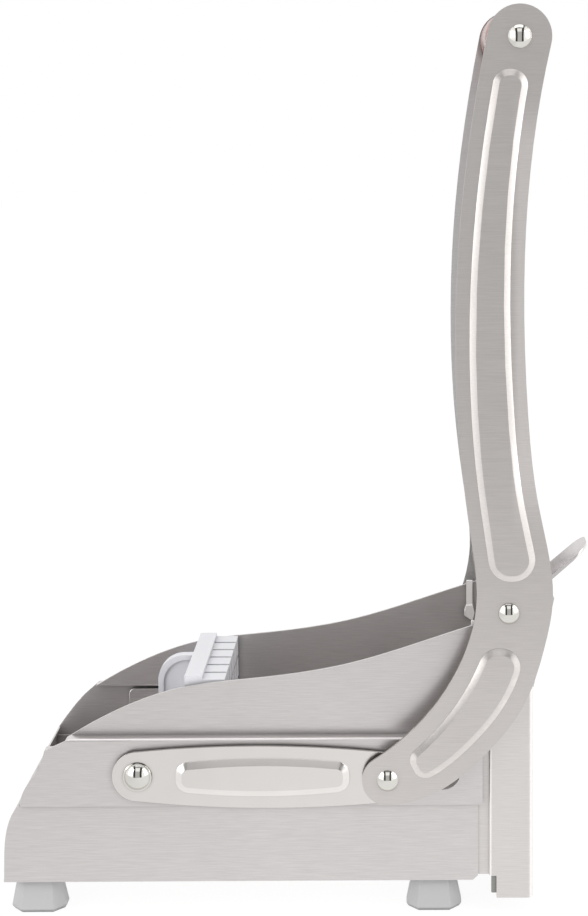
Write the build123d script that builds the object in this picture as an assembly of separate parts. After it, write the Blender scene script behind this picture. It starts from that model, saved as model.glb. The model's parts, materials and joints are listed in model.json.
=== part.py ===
from build123d import *
from math import cos, radians, sin, tan
import os

# Lever-operated vegetable dicer, millimetres, +Z up. The chute runs along X: the pusher rests at the
# front (-X) and presses towards the blade grid at the rear (+X). The origin lies on the supporting
# surface, midway between the front toe and the tip of the lift tab, on the symmetry plane Y = 0.
# Pieces are drawn on the near side (-Y), and the far ones are their mirror images.

# ---- sheet, fits and fasteners ----
SHEET = 1.0                 # body sheet thickness
ARM_SHEET = 1.5             # lever arms and links
BRACKET_SHEET = 1.5         # pusher carriage
RUNNING_FIT = 0.05          # radial play of a turning pin in its hole
SHEET_FIT = 0.1             # between nested sheets
SLIDE_FIT = 0.3             # between a sliding piece and its guide
CRIMP_GAP = 0.2             # axial play in a riveted pivot
BEND_RADIUS = 1.2           # outside radius of the pressed bends

# ---- heights above the supporting surface ----
FOOT_HEIGHT = 17.0
JOINT_Z = 55.4              # bottom edge of the side panels, over the tray
LEDGE_Z = 89.0              # top of the shoulder along each side panel
DECK_Z = 46.0               # chute floor
TRAY_OVERLAP = 4.5          # how far the tray walls rise inside the side panels

# ---- lengths along X ----
TOE_X = -142.8              # front foot line of the tray
PIN_X = -76.2               # slide pin, with the pusher at rest
STROKE = 146.4              # travel of the pusher from its rest to the rear end of the slots
SLOT_MARGIN = 19.4          # from the pin's rear end to the rear edge of the side panels
TRAY_SETBACK = 2.2          # how far the tray ends short of the side panels
FRAME_GAP = 3.1             # between the side panels and the end frame
FRAME_DEPTH = 21.3
PANEL_REAR_X = PIN_X + STROKE + SLOT_MARGIN
TRAY_REAR_X = PANEL_REAR_X - TRAY_SETBACK
FRAME_FRONT_X = PANEL_REAR_X + FRAME_GAP

# ---- half widths across Y ----
CHUTE_HALF = 34.5           # inside of the upper walls
LOWER_HALF = 41.5           # outside of the lower walls, flush with the end frame
ARM_STANDOFF = 6.5          # from the lower wall to the outer face of the lever arms
CHEEK_GAP = 3.7             # from the outside of the lower wall in to the cheeks of the carriage

# ---- linkage ----
PIVOT_SETBACK = 9.2         # from the front of the end frame to the pivot
GRIP_LEAN = 4.7             # how far the grip lies behind the pivot
TAIL_REACH = 58.0           # how far the tail rivet lies in front of it
PIVOT_X, PIVOT_Z = FRAME_FRONT_X + PIVOT_SETBACK, 152.0
GRIP_X, GRIP_Z = PIVOT_X + GRIP_LEAN, 422.7
RIVET_X, RIVET_Z = PIVOT_X - TAIL_REACH, 70.3
PIN_Z = 71.3
EYE_RADIUS = 14.8           # rounded head of an arm, round the grip
TAIL_RADIUS = 12.2          # rounded tail of an arm and both ends of a link
SHANK_RADIUS = 3.0          # every rivet and pin shank
PIVOT_HEAD, RIVET_HEAD, PIN_HEAD, GRIP_HEAD = 5.0, 5.2, 6.0, 5.5
DOME_RATIO = 0.45           # height of a domed head over its radius
WASHER_SHEET = 0.8
PIN_WASHER_RADIUS = 7.0
ROLLER_RADIUS = 8.2         # round slider that fills the slot
BUSH_RADIUS = 8.0
SPACER_RADIUS = 7.0
GRIP_RADIUS = 13.0
GRIP_BORE = 30.0            # depth of each screw in the grip

# Edges of a lever arm from the eye down to the tail. Each point lies beside a straight line from the
# pivot: (distance along X from that line, share of the line), where the line runs up to the grip for a
# share above 0, and down to the tail rivet below 0.
ARM_FRONT_EDGE = ((-22.2, 0.826), (-26.8, 0.621), (-27.3, 0.484), (-23.9, 0.274), (-18.5, 0.132),
                  (-15.4, 0.022), (-6.6, -0.262), (-4.4, -0.633))
ARM_REAR_EDGE = ((7.4, 0.825), (4.2, 0.584), (7.4, 0.343), (12.4, 0.202), (19.1, 0.087),
                 (20.6, 0.024), (28.2, -0.193), (38.8, -0.546), (37.4, -0.858), (28.8, -1.058))
EYE_FRONT_ANGLE, EYE_REAR_ANGLE = 169.0, -14.5  # degrees from +X where the edges leave the eye
TAIL_TOP_ANGLE, TAIL_FOOT_ANGLE = 122.0, -76.0  # and where they meet the tail
PANEL_RISE, PANEL_SLOPE = 1.2, 3.0      # height and sloping edge of the panels pressed out of an arm
PANEL_ROUNDNESS = 0.46      # corner radius at a panel's ends over its width there
PANEL_SPAN = 12.0           # spacing of the points that a panel's long sides run through
PANEL_SPANS = 3             # fewest spans along a side
UPPER_INSET, LOWER_INSET = 6.5, 8.0     # from an arm's edges to its panels
UPPER_PANEL_START, UPPER_PANEL_END = 14.7, 15.5     # below the grip and above the pivot
LOWER_PANEL_START = 17.0    # below the pivot
LOWER_PANEL_TAIL = 13.5     # from the tail rivet to the end of the lower panel
LINK_BELLY = 3.1            # how much wider a link is at its middle, on each side
PAD_LENGTH, PAD_HEIGHT_Z = 83.6, 18.9   # panel pressed out of a link
PAD_BELLY = 2.5             # how much higher the pad is at its middle, on each side
PAD_RISE, PAD_SLOPE = 1.6, 3.2
PAD_CORNER = 6.5
PRESSED_SHARE = 0.9         # how much of a panel's rise its slope takes up

# ---- side panels ----
# Front edge of the lower wall, and top edge of the upper wall, both from front to rear.
PANEL_FRONT = ((-133.5, 55.4), (-132.3, 62.0), (-128.0, 68.7), (-123.5, 74.6), (-118.9, 80.0),
               (-114.3, 84.4))
SHOULDER_X = -109.0         # where the front edge meets the shoulder
# The near panel's front corner stands a little proud of that edge, with a level tab turned in at its top.
NEAR_CORNER = ((-128.3, 68.7), (-124.3, 74.8), (-122.3, 79.4), (-121.2, 83.4))
CORNER_TAB_LENGTH, CORNER_TAB_BREADTH = 5.6, 6.0
PANEL_TOP = ((-85.4, 101.9), (-56.2, 112.1), (-24.2, 116.3), (25.0, 123.7), (71.4, 138.0))
PANEL_REAR_Z = 143.8

# ---- tray, apron and deck ----
TRAY_FRONT = ((-141.0, 42.0), (-138.8, 49.3))
TRAY_LIP_X = -135.3         # top of the tray's front wall
TRAY_CORNER = 2.4           # cut off the tray's lower rear corner
APRON_TOP = (-131.0, 64.6)
APRON_FOOT_Z = 48.0
DECK_FRONT_X = -100.0
DECK_SKIRT = 10.0
DECK_GAP = 2.4              # from the floor up to the pusher and to the blade grid
NECK_GAP = 0.9              # between the floor's neck and the cassette guides, on each side

# ---- feet ----
FOOT_FRONT_X = -127.4
FOOT_SETBACK, FOOT_INSET = 21.4, 11.9   # from the tray's rear end, and from the outside of the walls
FOOT_WIDTH, FOOT_BREADTH = 27.0, 17.0   # along X and along Y, where a foot is widest
FOOT_CORNER = 5.5           # cut off each vertical corner
# Sections of a foot from the bottom up: (height, how far its sides lie inside the widest section)
FOOT_SECTIONS = ((0.0, 1.2), (1.8, 0.0), (13.0, 2.2), (FOOT_HEIGHT, 3.6))
FOOT_SCREW_RADIUS, FOOT_SCREW_HEAD, FOOT_RECESS = 2.0, 4.0, 5.0
FOOT_SCREW_END = 3.0        # how far a screw stands up through the tray
SCREW_HEAD_DEPTH = 2.0

# ---- end frame ----
FRAME_BOTTOM_Z = 8.4
FRAME_FRONT_BEND, FRAME_REAR_BEND = 1.5, 2.3    # outside radii of its upright bends
NOTCH_Z, NOTCH_DEPTH = 19.5, 3.6        # cut-back of the front bend, below the tongue
TONGUE_REACH, TONGUE_TOP_Z = 12.0, 86.0
EAR_NECK = 38.0             # from where the ear starts up to the pivot
EAR_FRONT, EAR_REAR = 14.4, 21.9        # the ear's reach in front of and behind the pivot
EAR_SHOULDER, EAR_RISE = 5.3, 19.5      # its widest place and its top, above the pivot
EAR_CORNER = (18.1, 14.5)   # rear end of its rounded top, from the pivot
REAR_PLATE_TOP_Z = 132.0
WINDOW_MARGIN = 1.0         # how much wider the rear window is than the blade grid, on each side
GUIDE_BOTTOM_Z, GUIDE_TOP_Z = 10.4, 140.0
GUIDE_LEG = 4.6             # how far a guide's legs reach inwards from its web

# ---- blade cassette ----
CELLS = 6                   # cells each way in the blade grid
CELL_PITCH = 11.3
BLADE_SHEET = 0.6
BLADE_DEPTH = 8.0
CASSETTE_SETBACK = 8.3      # from the front of the end frame to the cassette
CASSETTE_DEPTH = 8.8
CASSETTE_RIM = 4.6
TAB_HALF, TAB_FOOT_HALF = 11.0, 28.0
TAB_SHEET = 1.2
TAB_KNEE_Z = 141.3
TAB_ANGLE = 41.6            # degrees above level
TAB_REACH = 41.8            # from the front of the cassette to the tab's tip
TAB_CORNER = 7.0
TAB_SETBACK = 2 / 3         # place of the upright across the cassette's depth
TAB_RIVET_RADIUS, TAB_RIVET_HEAD, TAB_RIVET_Y = 1.2, 2.0, 19.6

# ---- retaining clips ----
CLIP_SETBACK = 5.2          # from the rear edge of the side panels
CLIP_WIDTH, CLIP_SHEET = 3.1, 1.4
CLIP_TOP_Z, CLIP_WAIST_Z, CLIP_BOTTOM_Z = 144.3, 131.5, 123.0
CLIP_NOSE = 1.1             # how far the nose stands out beyond the strip
CLIP_NOSE_HEIGHT = 2.5

# ---- pusher ----
FLANGE_LEAD = 22.0          # from the slide pin to the front of the flange
FLANGE_DEPTH = 8.5
FLANGE_HALF, FLANGE_TOP_Z = 33.0, 117.2
FINGER_LENGTH, FINGER_GAP = 10.9, 1.7
GUSSET_REACH, GUSSET_RADIUS, GUSSET_SHEET, GUSSET_RIM = 17.3, 13.0, 2.6, 5.0
BRACKET_TOP_Z, BRACKET_BOTTOM_Z = 86.0, 47.0
CHEEK_REACH = 16.7          # from the slide pin to the free end of a cheek
CHEEK_BOTTOM_Z, CHEEK_CORNER = 58.0, 3.0
PUSHER_SCREW_RADIUS, PUSHER_SCREW_HEAD = 1.8, 3.6
PUSHER_SCREW_Y, PUSHER_SCREW_Z = 22.0, 62.0

# ---- what follows from the sizes above ----
FRAME_REAR_X = FRAME_FRONT_X + FRAME_DEPTH
FOOT_REAR_X, FOOT_Y = TRAY_REAR_X - FOOT_SETBACK, LOWER_HALF - FOOT_INSET
CLIP_X = PANEL_REAR_X - CLIP_SETBACK
CASSETTE_X = FRAME_FRONT_X + CASSETTE_SETBACK
TAB_TIP_X = CASSETTE_X + TAB_REACH
FLANGE_X, CHEEK_FRONT_X = PIN_X + FLANGE_LEAD, PIN_X - CHEEK_REACH
EAR_START_Z, EAR_SHOULDER_Z, EAR_TOP_Z = PIVOT_Z - EAR_NECK, PIVOT_Z + EAR_SHOULDER, PIVOT_Z + EAR_RISE
EAR_FRONT_X, EAR_REAR_X = PIVOT_X - EAR_FRONT, PIVOT_X + EAR_REAR
UPPER_PANEL = (PIVOT_Z + UPPER_PANEL_END, GRIP_Z - UPPER_PANEL_START)
LOWER_PANEL = (RIVET_Z - TAIL_RADIUS, PIVOT_Z - LOWER_PANEL_START)
UPPER_OUTER = CHUTE_HALF + SHEET
LOWER_INNER = LOWER_HALF - SHEET
TRAY_OUTER = LOWER_INNER - SHEET_FIT
TRAY_INNER = TRAY_OUTER - SHEET
TONGUE_OUTER = TRAY_INNER - SHEET_FIT
CHEEK_OUTER = LOWER_HALF - CHEEK_GAP
ARM_OUTER = LOWER_HALF + ARM_STANDOFF
ARM_INNER = ARM_OUTER - ARM_SHEET
LINK_INNER = LOWER_HALF + WASHER_SHEET + SLIDE_FIT
LINK_OUTER = LINK_INNER + ARM_SHEET
SLOT_HALF = ROLLER_RADIUS + SHEET_FIT
SLOT_PLAY = SLIDE_FIT
CASSETTE_REAR_X = CASSETTE_X + CASSETTE_DEPTH
GRID_HALF = CELLS * CELL_PITCH / 2
GRID_Z = DECK_Z + DECK_GAP + GRID_HALF
GUIDE_WEB_OUTER = LOWER_INNER
GUIDE_WEB_INNER = GUIDE_WEB_OUTER - SHEET
GUIDE_INNER = GUIDE_WEB_INNER - GUIDE_LEG
NECK_HALF = GUIDE_INNER - NECK_GAP
CASSETTE_HALF = GUIDE_WEB_INNER - SLIDE_FIT
CASSETTE_BOTTOM_Z = GRID_Z - GRID_HALF - CASSETTE_RIM
CASSETTE_TOP_Z = GRID_Z + GRID_HALF + CASSETTE_RIM


# ---- small helpers ----

def slab(outline, low_y, high_y):
    """Extrude an outline drawn in (x, z) from low_y to high_y."""
    return extrude(Plane.XZ.offset(-high_y) * outline, high_y - low_y)


def near_slab(outline, inner, outer):
    """Extrude an (x, z) outline on the near side, between two distances from the symmetry plane."""
    return slab(outline, -outer, -inner)


def block(x_range, y_range, z_range):
    """An upright box between pairs of limits."""
    sizes = [high - low for low, high in (x_range, y_range, z_range)]
    middle = [(low + high) / 2 for low, high in (x_range, y_range, z_range)]
    return Pos(*middle) * Box(*sizes)


def rod(x, z, radius, inner, outer):
    """A cylinder along Y on the near side."""
    return near_slab(Pos(x, z) * Circle(radius), inner, outer)


def dome(x, z, radius, seat):
    """A domed head that stands outwards from the distance seat on the near side."""
    height = DOME_RATIO * radius
    ball = (radius ** 2 + height ** 2) / (2 * height)
    ball_y = -(seat + height - ball)
    return Pos(x, ball_y, z) * Sphere(ball) & rod(x, z, radius, seat, seat + height)


def on_circle(x, z, radius, angle):
    """The point of a circle at an angle in degrees from +X towards +Z."""
    return x + radius * cos(radians(angle)), z + radius * sin(radians(angle))


def polygon(*points):
    return make_face(Polyline(*points, close=True))


def far(piece):
    return mirror(piece, about=Plane.XZ)


def solids_of(*pieces):
    """Keep pieces apart as separate solids of one node."""
    return Compound([solid for piece in pieces for solid in piece.solids()])


# ---- body ----

def slot_outline():
    front, rear = PIN_X - SLOT_PLAY, PIN_X + STROKE + SLOT_PLAY
    bar = Pos((front + rear) / 2, PIN_Z) * Rectangle(rear - front, 2 * SLOT_HALF)
    return bar + Pos(front, PIN_Z) * Circle(SLOT_HALF) + Pos(rear, PIN_Z) * Circle(SLOT_HALF)


def side_panel(front=PANEL_FRONT):
    """One pressed sheet: upper chute wall, level shoulder and lower wall with the slot.

    The points of front are those of its front edge, from the foot up to just below the shoulder."""
    shoulder = (SHOULDER_X, LEDGE_Z)
    rear_top, rear_foot = (PANEL_REAR_X, PANEL_REAR_Z), (PANEL_REAR_X, JOINT_Z)
    outline = make_face(Spline(*front) + Line(front[-1], shoulder) + Spline(shoulder, *PANEL_TOP, rear_top)
                        + Polyline(rear_top, rear_foot, front[0]))
    section = polygon((-CHUTE_HALF, PANEL_REAR_Z), (-UPPER_OUTER, PANEL_REAR_Z), (-UPPER_OUTER, LEDGE_Z),
                      (-LOWER_HALF, LEDGE_Z), (-LOWER_HALF, JOINT_Z), (-LOWER_INNER, JOINT_Z),
                      (-LOWER_INNER, LEDGE_Z - SHEET), (-CHUTE_HALF, LEDGE_Z - SHEET))
    bends = ((-LOWER_HALF, LEDGE_Z), (-CHUTE_HALF, LEDGE_Z - SHEET))
    section = fillet([section.vertices().sort_by_distance(bend)[0] for bend in bends], BEND_RADIUS)
    sheet = Plane.YZ.offset(TOE_X) * extrude(section, PANEL_REAR_X - TOE_X)
    panel = sheet & slab(outline, -LOWER_HALF, -CHUTE_HALF)
    return panel - near_slab(slot_outline(), LOWER_INNER, LOWER_HALF)


def near_panel():
    """The near panel, with its proud front corner."""
    tip = NEAR_CORNER[-1]
    tab = block((tip[0], tip[0] + CORNER_TAB_LENGTH), (-LOWER_HALF, CORNER_TAB_BREADTH - LOWER_HALF),
                (tip[1] - SHEET, tip[1]))
    return side_panel((*PANEL_FRONT[:2], *NEAR_CORNER)) + tab


def base_tray():
    """Shallow tray with a bulged front wall, which carries the feet and the side panels."""
    bottom, lip = (TOE_X, FOOT_HEIGHT), (TRAY_LIP_X, JOINT_Z - SHEET_FIT)
    wall_top = JOINT_Z + TRAY_OVERLAP
    inside_x = PANEL_FRONT[0][0] + SHEET
    front = Spline(bottom, *TRAY_FRONT, lip)
    side = make_face(front + Polyline(lip, (inside_x, lip[1]), (inside_x, wall_top),
                                      (TRAY_REAR_X, wall_top), (TRAY_REAR_X, FOOT_HEIGHT), bottom))
    hollow_front = Spline(*[(x + SHEET, z) for x, z in (bottom, *TRAY_FRONT, lip)])
    hollow_top = [(x + SHEET, z) for x, z in (lip, bottom)]
    hollow = make_face(hollow_front + Polyline(hollow_top[0], (TRAY_REAR_X, lip[1]),
                                               (TRAY_REAR_X, FOOT_HEIGHT), hollow_top[1]))
    body = slab(side, -TRAY_OUTER, TRAY_OUTER)
    room = slab(hollow, -TRAY_INNER, TRAY_INNER)
    room += block((inside_x, TRAY_REAR_X), (-TRAY_INNER, TRAY_INNER), (lip[1] - SHEET, wall_top))
    room += block((TRAY_LIP_X + SHEET, inside_x), (-TRAY_INNER, TRAY_INNER), (lip[1] - SHEET, lip[1]))
    floor = block((TOE_X + SHEET, TRAY_REAR_X), (-TRAY_INNER, TRAY_INNER),
                  (FOOT_HEIGHT, FOOT_HEIGHT + SHEET))
    rear_half = TONGUE_OUTER - SHEET - SHEET_FIT
    rear = block((TRAY_REAR_X - SHEET, TRAY_REAR_X), (-rear_half, rear_half),
                 (FOOT_HEIGHT, DECK_Z - SHEET - SHEET_FIT))
    cut_x, cut_z = TRAY_REAR_X - TRAY_CORNER, FOOT_HEIGHT + TRAY_CORNER
    corner = polygon((TRAY_REAR_X, FOOT_HEIGHT), (cut_x, FOOT_HEIGHT), (TRAY_REAR_X, cut_z))
    bend = polygon((cut_x, FOOT_HEIGHT), (TRAY_REAR_X, cut_z), (TRAY_REAR_X - SHEET, cut_z + SHEET),
                   (cut_x - SHEET, FOOT_HEIGHT + SHEET))
    tray = body - room + floor + rear + slab(bend, -rear_half, rear_half)
    tray -= slab(corner, -TRAY_OUTER, TRAY_OUTER)
    for x, y in foot_places():
        tray -= Pos(x, y, FOOT_HEIGHT + SHEET / 2) * Cylinder(FOOT_SCREW_RADIUS, SHEET)
    return tray


def front_apron():
    """Curved sheet across the front of the chute, behind the front edges of both panels."""
    outer = ((PANEL_FRONT[0][0], APRON_FOOT_Z), *PANEL_FRONT[:2], APRON_TOP)
    outer = [(x + SHEET_FIT, z) for x, z in outer]
    inner = [(x + SHEET, z) for x, z in outer]
    skin = make_face(Polyline(*outer[:2]) + Spline(*outer[1:]) + Line(outer[-1], inner[-1])
                     + Spline(*inner[1:]) + Polyline(*inner[:2]) + Line(inner[0], outer[0]))
    return slab(skin, -TONGUE_OUTER, TONGUE_OUTER)


def chute_deck():
    """Level chute floor with turned-down sides and a narrower neck into the end frame."""
    neck_start = FRAME_FRONT_X - TONGUE_REACH - SHEET_FIT
    floor = block((DECK_FRONT_X, neck_start), (-TONGUE_OUTER, TONGUE_OUTER), (DECK_Z - SHEET, DECK_Z))
    floor += block((neck_start, CASSETTE_X - SLIDE_FIT), (-NECK_HALF, NECK_HALF), (DECK_Z - SHEET, DECK_Z))
    for inner, outer in ((TONGUE_OUTER - SHEET, TONGUE_OUTER), (-TONGUE_OUTER, SHEET - TONGUE_OUTER)):
        floor += block((DECK_FRONT_X, neck_start), (inner, outer), (DECK_Z - DECK_SKIRT, DECK_Z))
    return floor


def frame_side():
    """Side wall of the end frame with its pivot ear."""
    outline = Polyline((FRAME_FRONT_X + NOTCH_DEPTH, FRAME_BOTTOM_Z),
                       (FRAME_FRONT_X + NOTCH_DEPTH, NOTCH_Z), (FRAME_FRONT_X, NOTCH_Z),
                       (FRAME_FRONT_X, EAR_START_Z), (EAR_FRONT_X, EAR_SHOULDER_Z))
    ear_front, ear_corner = (EAR_FRONT_X, EAR_SHOULDER_Z), (PIVOT_X + EAR_CORNER[0], PIVOT_Z + EAR_CORNER[1])
    outline += ThreePointArc(ear_front, (PIVOT_X, EAR_TOP_Z), ear_corner)
    outline += Polyline(ear_corner, (EAR_REAR_X, EAR_SHOULDER_Z),
                        (FRAME_REAR_X, EAR_START_Z), (FRAME_REAR_X, FRAME_BOTTOM_Z),
                        (FRAME_FRONT_X + NOTCH_DEPTH, FRAME_BOTTOM_Z))
    hole = Pos(PIVOT_X, PIVOT_Z) * Circle(SHANK_RADIUS)
    return near_slab(make_face(outline) - hole, LOWER_INNER, LOWER_HALF)


def end_frame():
    """Upright housing behind the chute: two side walls, a windowed rear plate and joggled tongues."""
    side = frame_side()
    tongue_inner = TONGUE_OUTER - SHEET
    bend_x = FRAME_FRONT_X + SHEET
    side += block((FRAME_FRONT_X, bend_x), (-LOWER_HALF, -tongue_inner), (NOTCH_Z, EAR_START_Z))
    side += block((FRAME_FRONT_X - TONGUE_REACH, bend_x), (-TONGUE_OUTER, -tongue_inner),
                  (NOTCH_Z, TONGUE_TOP_Z))
    rear = block((FRAME_REAR_X - SHEET, FRAME_REAR_X), (-LOWER_HALF, LOWER_HALF),
                 (FRAME_BOTTOM_Z, REAR_PLATE_TOP_Z))
    half = GRID_HALF + WINDOW_MARGIN
    window = block((FRAME_REAR_X - SHEET, FRAME_REAR_X), (-half, half), (GRID_Z - half, GRID_Z + half))
    frame = side + far(side) + rear - window
    for waste in (bend_waste(FRAME_FRONT_X, 1, FRAME_FRONT_BEND, NOTCH_Z),
                  bend_waste(FRAME_REAR_X, -1, FRAME_REAR_BEND, FRAME_BOTTOM_Z)):
        frame -= waste
        frame -= far(waste)
    return frame


def bend_waste(x, towards, radius, low_z):
    """What the rounding of an upright bend of the frame takes off its square corner, on the near side.

    The bend is at x, with the frame on the side of it that towards gives, and ends where the ear starts."""
    inner_x, inner_y = x + towards * radius, radius - LOWER_HALF
    square = block(sorted((x, inner_x)), (-LOWER_HALF, inner_y), (low_z, EAR_START_Z))
    height = EAR_START_Z - low_z
    return square - Pos(inner_x, inner_y, low_z + height / 2) * Cylinder(radius, height)


def cassette_guide():
    """Upright channel inside the end frame in which the cassette slides, with a seat at its foot."""
    legs_x = (CASSETTE_X - SLIDE_FIT, CASSETTE_REAR_X + SLIDE_FIT)
    front_x = FRAME_FRONT_X + SHEET + SHEET_FIT
    guide = block((front_x, legs_x[1] + SHEET), (-GUIDE_WEB_OUTER, -GUIDE_WEB_INNER),
                  (GUIDE_BOTTOM_Z, GUIDE_TOP_Z))
    for low, high in ((legs_x[0] - SHEET, legs_x[0]), (legs_x[1], legs_x[1] + SHEET)):
        guide += block((low, high), (-GUIDE_WEB_INNER, -GUIDE_INNER), (GUIDE_BOTTOM_Z, GUIDE_TOP_Z))
    return guide + block((legs_x[0], legs_x[1]), (-GUIDE_WEB_INNER, -GUIDE_INNER),
                         (CASSETTE_BOTTOM_Z - SHEET, CASSETTE_BOTTOM_Z))


def retaining_clip():
    """Spring strip with a nose, on the inside of the chute wall beside the cassette."""
    strip = block((CLIP_X, CLIP_X + CLIP_WIDTH), (-CHUTE_HALF, CLIP_SHEET - CHUTE_HALF),
                  (CLIP_WAIST_Z, CLIP_TOP_Z))
    nose_z = (CLIP_WAIST_Z + CLIP_BOTTOM_Z) / 2
    half = CLIP_NOSE_HEIGHT / 2
    front_x, rear_x = CLIP_X - CLIP_NOSE, CLIP_X + CLIP_WIDTH
    nose = polygon((CLIP_X, CLIP_WAIST_Z), (front_x, nose_z + half), (front_x, nose_z - half),
                   (rear_x, CLIP_BOTTOM_Z), (rear_x + CLIP_NOSE, nose_z), (rear_x, CLIP_WAIST_Z))
    return strip + near_slab(nose, CHUTE_HALF - 2 * CLIP_SHEET, CHUTE_HALF)


def pivot_pin():
    """Domed pivot rivet, crimped inside the ear; the arm turns on its shank."""
    inner = LOWER_INNER - WASHER_SHEET
    pin = rod(PIVOT_X, PIVOT_Z, SHANK_RADIUS, inner, ARM_OUTER + CRIMP_GAP)
    pin += rod(PIVOT_X, PIVOT_Z, PIVOT_HEAD, inner, LOWER_INNER)
    return pin + dome(PIVOT_X, PIVOT_Z, PIVOT_HEAD, ARM_OUTER + CRIMP_GAP)


def pivot_bush():
    """Spacer between the ear and the arm."""
    ring = Pos(PIVOT_X, PIVOT_Z) * (Circle(BUSH_RADIUS) - Circle(SHANK_RADIUS))
    return near_slab(ring, LOWER_HALF, ARM_INNER - CRIMP_GAP)


# ---- feet ----

def foot_places():
    return [(x, y) for x in (FOOT_FRONT_X, FOOT_REAR_X) for y in (-FOOT_Y, FOOT_Y)]


def foot_section(z, inset):
    """Octagon at a height: every side lies inset from the widest one's."""
    outline = Rectangle(FOOT_WIDTH - 2 * inset, FOOT_BREADTH - 2 * inset)
    corner = FOOT_CORNER - inset * (1 - tan(radians(22.5)))
    return Plane.XY.offset(z) * chamfer(outline.vertices(), corner)


def foot():
    """Moulded foot that flares towards the worktop, with a recess for its screw."""
    body = Part()
    for lower, upper in zip(FOOT_SECTIONS, FOOT_SECTIONS[1:]):
        body += loft([foot_section(*lower), foot_section(*upper)])
    body -= Pos(0, 0, FOOT_RECESS / 2) * Cylinder(FOOT_SCREW_HEAD + SLIDE_FIT, FOOT_RECESS)
    return body - Pos(0, 0, FOOT_HEIGHT / 2) * Cylinder(FOOT_SCREW_RADIUS, FOOT_HEIGHT)


def foot_screw():
    length = FOOT_HEIGHT + SHEET + FOOT_SCREW_END - FOOT_RECESS
    shank = Pos(0, 0, FOOT_RECESS + length / 2) * Cylinder(FOOT_SCREW_RADIUS, length)
    return shank + Pos(0, 0, FOOT_RECESS - SCREW_HEAD_DEPTH / 2) * Cylinder(FOOT_SCREW_HEAD, SCREW_HEAD_DEPTH)


# ---- lever ----

def arm_edge(points):
    """Place an edge's points beside the lines from the pivot to the grip and to the tail rivet."""
    placed = []
    for aside, share in points:
        end_x, end_z = (GRIP_X, GRIP_Z) if share > 0 else (RIVET_X, RIVET_Z)
        placed.append((PIVOT_X + abs(share) * (end_x - PIVOT_X) + aside,
                       PIVOT_Z + abs(share) * (end_z - PIVOT_Z)))
    return placed


def arm_outline():
    """Bowed plate between the eye round the grip and the tail over the link."""
    front = [on_circle(GRIP_X, GRIP_Z, EYE_RADIUS, EYE_FRONT_ANGLE), *arm_edge(ARM_FRONT_EDGE),
             on_circle(RIVET_X, RIVET_Z, TAIL_RADIUS, TAIL_TOP_ANGLE)]
    rear = [on_circle(GRIP_X, GRIP_Z, EYE_RADIUS, EYE_REAR_ANGLE), *arm_edge(ARM_REAR_EDGE),
            on_circle(RIVET_X, RIVET_Z, TAIL_RADIUS, TAIL_FOOT_ANGLE)]
    blade = make_face(Spline(*front) + Line(front[-1], rear[-1]) + Spline(*rear) + Line(rear[0], front[0]))
    return blade + Pos(GRIP_X, GRIP_Z) * Circle(EYE_RADIUS) + Pos(RIVET_X, RIVET_Z) * Circle(TAIL_RADIUS)


def round_off(region):
    """Round both ends of a panel's region as far as their width allows."""
    for end in (slice(2), slice(-2, None)):
        pair = region.vertices().sort_by(Axis.Y)[end]
        width = (pair[0].center() - pair[1].center()).length
        region = fillet(pair, width * PANEL_ROUNDNESS)
    return region


def redrawn(region):
    """The same region drawn with plain lines, arcs and splines, in place of offset curves."""
    edges = []
    for edge in region.faces()[0].outer_wire().edges():
        if edge.geom_type == GeomType.LINE:
            edges.append(Edge.make_line(edge @ 0, edge @ 1))
        elif edge.geom_type == GeomType.CIRCLE:
            edges.append(Edge.make_three_point_arc(edge @ 0, edge @ 0.5, edge @ 1))
        else:
            spans = max(PANEL_SPANS, round(edge.length / PANEL_SPAN))
            points = [edge @ (i / spans) for i in range(spans + 1)]
            edges.append(Edge.make_spline(points, tangents=[edge % 0, edge % 1]))
    return make_face(Wire(edges))


def panel_region(outline, inset, low_z, high_z):
    """The part of an arm's outline that lies inset from its edges and between two heights."""
    region = offset(outline, -inset)
    middle = (PIVOT_X + RIVET_X) / 2
    region &= Pos(middle, (low_z + high_z) / 2) * Rectangle(GRIP_Z, high_z - low_z)
    region -= Pos(RIVET_X, RIVET_Z) * Circle(LOWER_PANEL_TAIL)
    return redrawn(round_off(Sketch() + region.faces().sort_by(SortBy.AREA)[-1]))


def press_out(sheet, region, seat, rise, slope):
    """Push a region of a sheet outwards, with sloping edges and a matching hollow behind it."""
    raised = near_slab(region, seat, seat + rise)
    crest = raised.faces().sort_by(Axis.Y)[0]
    raised = chamfer(crest.edges(), slope, rise * PRESSED_SHARE, reference=crest)
    return sheet + raised - Pos(0, ARM_SHEET, 0) * raised


def lever_arm():
    """Bowed arm with its two pressed panels."""
    outline = arm_outline()
    holes = Sketch()
    for x, z, radius in ((PIVOT_X, PIVOT_Z, SHANK_RADIUS + RUNNING_FIT), (RIVET_X, RIVET_Z, SHANK_RADIUS),
                         (GRIP_X, GRIP_Z, SHANK_RADIUS)):
        holes += Pos(x, z) * Circle(radius)
    arm = near_slab(outline - holes, ARM_INNER, ARM_OUTER)
    for inset, heights in ((UPPER_INSET, UPPER_PANEL), (LOWER_INSET, LOWER_PANEL)):
        region = panel_region(outline, inset, *heights)
        arm = press_out(arm, region, ARM_OUTER, PANEL_RISE, PANEL_SLOPE)
    return arm


def grip():
    """Round wooden bar between the arms, bored at both ends for its screws."""
    bar = slab(Pos(GRIP_X, GRIP_Z) * Circle(GRIP_RADIUS), -ARM_INNER, ARM_INNER)
    bore = rod(GRIP_X, GRIP_Z, SHANK_RADIUS, ARM_INNER - GRIP_BORE, ARM_INNER)
    return bar - bore - far(bore)


def grip_screw():
    shank = rod(GRIP_X, GRIP_Z, SHANK_RADIUS, ARM_INNER - GRIP_BORE, ARM_OUTER)
    return shank + dome(GRIP_X, GRIP_Z, GRIP_HEAD, ARM_OUTER)


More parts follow.
